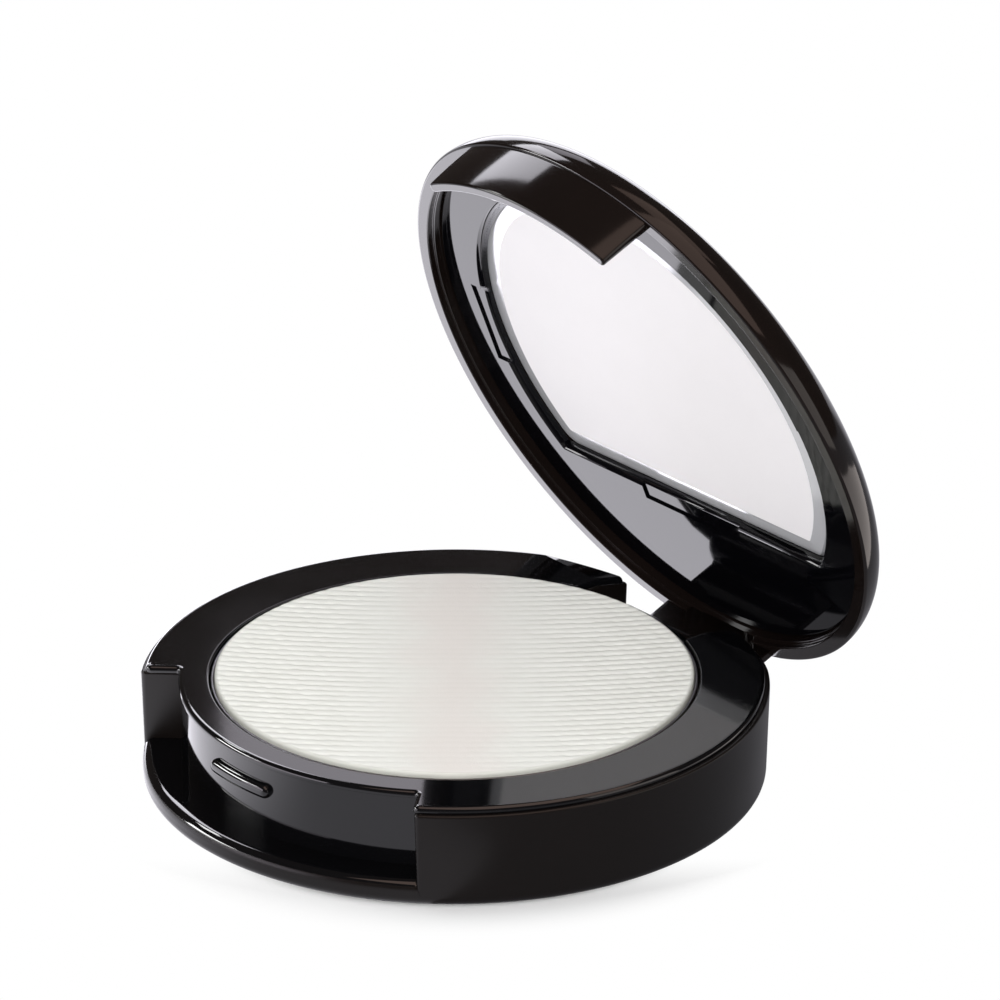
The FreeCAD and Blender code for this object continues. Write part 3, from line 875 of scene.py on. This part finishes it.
# Ground edge of the mirror: some bare silver that shows the table and the black frame round it.
ground_edge = silvered("ground mirror edge", ("#C4C4CA", "#D2D2D6"), silver=0.25,
                       roughness=0.12, shine=0.3)
face_path = d_half(mirror_radius, mirror_chord, mirror_corner, side_half, chord_half)[0][::-1]
bevel_line = np.array([
    (0, 0), (bevel_ease, bevel_ease / bevel_width * bevel_drop),
    (bevel_width - bevel_ease, bevel_drop * 0.98), (bevel_width, bevel_drop),
    (bevel_width, bevel_drop + bevel_foot), (bevel_width, mirror_depth),
]) + np.array([0, glass_face])
bevel = carry(bevel_line, face_path)
bevel[[0, -1], :, 0] = 0
face = np.concatenate([bevel[:, 0], flipped(bevel[:, 0])[1:-1]])[::-1]
back = np.concatenate([bevel[:, -1], flipped(bevel[:, -1])[1:-1]])
glass = piece("mirror_glass", [opened(bevel), opened(flipped(bevel))], [opened(face), opened(back)],
              mirror_painted_white)
glass.data.materials.append(ground_edge)
# Face and back have many sides; the quads of the bevel get the ground edge.
sides = np.empty(len(glass.data.polygons), np.int32)
glass.data.polygons.foreach_get("loop_total", sides)
glass.data.polygons.foreach_set("material_index", (sides < 5).astype(np.int32))
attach(glass, "lid")
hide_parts("mirror")


# Table: a plain white sweep. The camera sees it white, with a soft shadow close in front of the case;
# polished faces see it bright on the left and dim on the right.
view_turn = math.radians(50.13)
view_rise = math.radians(23.55)
shadow_back = (-37, -24)
shadow_reach = (38, 46)
sheen_span = (-80, 25)
sheen = (1.0, 0.3)
table_size = 4000


def plane(name, centre, across, upward, material):
    """Rectangle in mm from its centre and its two half sides."""
    centre, across, upward = (np.array(value, float) for value in (centre, across, upward))
    corners = [centre + across * a + upward * b for a, b in ((-1, -1), (1, -1), (1, 1), (-1, 1))]
    made = piece(name, [], [corners], material)
    return made


def table():
    """White table. For the camera it is plain white, but for a diffuse white near the case's front that
    fades out by smoothstep with the distance and towards the back. Glossy rays meet a glow that dims by
    smoothstep along X, and all others a mid grey."""
    made, tree = bare("white table")
    ray = add(tree, "ShaderNodeLightPath", {})
    place = add(tree, "ShaderNodeTexCoord", {})
    turned = add(tree, "ShaderNodeMapping", {"Rotation": (0, 0, -view_turn)}, [("Vector", place, "Object")])
    axes = add(tree, "ShaderNodeSeparateXYZ", {}, [("Vector", turned, "Vector")])
    behind = add(tree, "ShaderNodeMapRange",
                 {"interpolation_type": "SMOOTHSTEP", "From Min": shadow_back[0] * MM,
                  "From Max": shadow_back[1] * MM}, [("Value", axes, "Y")])
    reach = add(tree, "ShaderNodeVectorMath", {"operation": "LENGTH"}, [("Vector", place, "Object")])
    away = add(tree, "ShaderNodeMapRange",
               {"interpolation_type": "SMOOTHSTEP", "From Min": shadow_reach[0] * MM,
                "From Max": shadow_reach[1] * MM}, [("Value", reach, "Value")])
    clear = add(tree, "ShaderNodeMath", {"operation": "MAXIMUM"},
                [(0, behind, "Result"), (1, away, "Result")])
    near = add(tree, "ShaderNodeBsdfDiffuse", {"Color": (0.88, 0.88, 0.88, 1.0)})
    wash = add(tree, "ShaderNodeEmission", {"Color": (1, 1, 1, 1), "Strength": 1.0})
    seen = add(tree, "ShaderNodeMixShader", {},
               [(0, clear, "Value"), (1, near, "BSDF"), (2, wash, "Emission")])
    straight = add(tree, "ShaderNodeSeparateXYZ", {}, [("Vector", place, "Object")])
    bright = add(tree, "ShaderNodeMapRange",
                 {"interpolation_type": "SMOOTHSTEP", "From Min": sheen_span[0] * MM,
                  "From Max": sheen_span[1] * MM, "To Min": sheen[0], "To Max": sheen[1]},
                 [("Value", straight, "X")])
    glow = add(tree, "ShaderNodeEmission", {"Color": linear("#F4F2FA")}, [("Strength", bright, "Result")])
    plain = add(tree, "ShaderNodeBsdfDiffuse", {"Color": (0.5, 0.5, 0.5, 1.0)})
    unseen = add(tree, "ShaderNodeMixShader", {},
                 [(0, ray, "Is Glossy Ray"), (1, plain, "BSDF"), (2, glow, "Emission")])
    both = add(tree, "ShaderNodeMixShader", {},
               [(0, ray, "Is Camera Ray"), (1, unseen, "Shader"), (2, seen, "Shader")])
    add(tree, "ShaderNodeOutputMaterial", {}, [("Surface", both, "Shader")])
    return made


plane("table", (0, 0, 0), (table_size, 0, 0), (0, table_size, 0), table())


# Room, lamps and cards: the room is white for the camera, a low fill for the object and dim for polished
# faces. A large soft lamp overhead and a low one in front, which casts no shadow, give the light, and cards
# that only reflections show put the pale patches in the black plastic.
fade_span = (-26, 10)


def glowing(name, code, left_strength, right_strength):
    """Light card whose strength passes along X from the first value to the second by smoothstep."""
    made, tree = bare(name)
    place = add(tree, "ShaderNodeTexCoord", {})
    axes = add(tree, "ShaderNodeSeparateXYZ", {}, [("Vector", place, "Object")])
    power = add(tree, "ShaderNodeMapRange",
                {"interpolation_type": "SMOOTHSTEP", "From Min": fade_span[0] * MM,
                 "From Max": fade_span[1] * MM, "To Min": left_strength, "To Max": right_strength},
                [("Value", axes, "X")])
    glow = add(tree, "ShaderNodeEmission", {"Color": linear(code)}, [("Strength", power, "Result")])
    add(tree, "ShaderNodeOutputMaterial", {}, [("Surface", glow, "Emission")])
    return made


room = bpy.data.worlds.new("white room")
bpy.context.scene.world = room
room.use_nodes = True
walls = room.node_tree
walls.nodes.clear()
ray = add(walls, "ShaderNodeLightPath", {})
fill = add(walls, "ShaderNodeBackground", {"Color": (1, 1, 1, 1), "Strength": 0.12})
dim = add(walls, "ShaderNodeBackground", {"Color": linear("#C8B8B0"), "Strength": 0.12})
white = add(walls, "ShaderNodeBackground", {"Color": (1, 1, 1, 1), "Strength": 1.0})
unseen = add(walls, "ShaderNodeMixShader", {},
             [(0, ray, "Is Glossy Ray"), (1, fill, "Background"), (2, dim, "Background")])
both = add(walls, "ShaderNodeMixShader", {},
           [(0, ray, "Is Camera Ray"), (1, unseen, "Shader"), (2, white, "Background")])
add(walls, "ShaderNodeOutputWorld", {}, [("Surface", both, "Shader")])

# Each lamp: name, side in metres, power in watts, place in metres, tilt and turn in degrees, shadow.
lamps = [
    ("soft lamp", 1.6, 9.6, (-0.1, 0.0, 1.0), (0, 0), True),
    ("front lamp", 0.6, 5.2, (0.42, -0.42, 0.22), (72, 44), False),
]
for name, side, watts, place, (tilt, turn), shadow in lamps:
    light = bpy.data.lights.new(name, "AREA")
    light.shape = "SQUARE"
    light.size = side
    light.energy = watts
    light.use_shadow = shadow
    lamp = bpy.data.objects.new(name, light)
    lamp.location = place
    lamp.rotation_euler = (math.radians(tilt), 0, math.radians(turn))
    lamp.visible_glossy = False
    bpy.context.scene.collection.objects.link(lamp)

# Each card: name, centre and two half sides in mm, colour, strength on its left and on its right.
cards = [
    ("left card", (-530, 213, 480), (12, 115, 0), (0, -18, 158), "#F4F2FA", 7.0, 7.0),
    ("low card", (-360, 350, 95), (91, 109, 0), (0, 0, 93), "#F4F2FA", 3.0, 3.0),
    ("front card", (-407, -379, 191), (82, -88, 0), (15, 13, 49), "#FFFFFF", 20.0, 20.0),
    ("warm card", (330, 0, 620), (360, 0, 0), (0, 400, 0), "#E6C8BA", 1.75, 1.75),
    ("ceiling card", (-60, 400, 630), (170, 0, 0), (0, 180, 0), "#E6C8BA", 1.3, 1.3),
    ("table card", (-83.5, 12, 0.4), (88.5, 0, 0), (0, 36, 0), "#F4F2FA", 4.6, 4.6),
    ("near card", (-9, -73, 0.3), (54, 0, 0), (0, 47, 0), "#F4F2FA", 2.8, 0.95),
    ("back card", (105, 172, 0.4), (60, 0, 0), (0, 105, 0), "#F2E8E4", 2.6, 2.6),
    ("rear card", (-376, 329, 320), (37, 45, 0), (0, 0, 80), "#EAE5EE", 2.0, 2.0),
    ("right card", (520, 270, 160), (40, -200, 0), (0, 0, 158), "#EFE6E0", 1.7, 1.7),
    ("band card", (-170, -480, 105), (170, -60, 0), (0, 0, 95), "#E8E0EA", 4.5, 4.5),
    ("catch card", (-440, -70, 415), (5, -60, 0), (20, 2, 22), "#FFFFFF", 14.0, 14.0),
]
for name, centre, across, upward, code, left_strength, right_strength in cards:
    card = plane(name, centre, across, upward, glowing(name, code, left_strength, right_strength))
    card.visible_camera = False
    card.visible_shadow = False
    card.visible_diffuse = False


# Camera: a long lens a metre away at the front right, a little above the deck. It is moved to the right and
# up in its own picture plane, with no shift of the lens.
lens = 295.92
sensor = 36
view_distance = 1000
view_aside = 5.509
view_above = 32.716
turn_sin, turn_cos = math.sin(view_turn), math.cos(view_turn)
rise_sin, rise_cos = math.sin(view_rise), math.cos(view_rise)
view_right = np.array([turn_cos, turn_sin, 0])
view_up = np.array([-rise_sin * turn_sin, rise_sin * turn_cos, rise_cos])
view_back = np.array([rise_cos * turn_sin, -rise_cos * turn_cos, rise_sin])
eye = bpy.data.cameras.new("camera")
eye.lens = lens
eye.sensor_width = sensor
eye.clip_end = 20
camera = bpy.data.objects.new("camera", eye)
camera.location = (view_aside * view_right + view_above * view_up + view_distance * view_back) * MM
camera.rotation_euler = (math.pi / 2 - view_rise, 0, view_turn)
bpy.context.scene.collection.objects.link(camera)
bpy.context.scene.camera = camera
bpy.context.scene.view_settings.view_transform = "Standard"
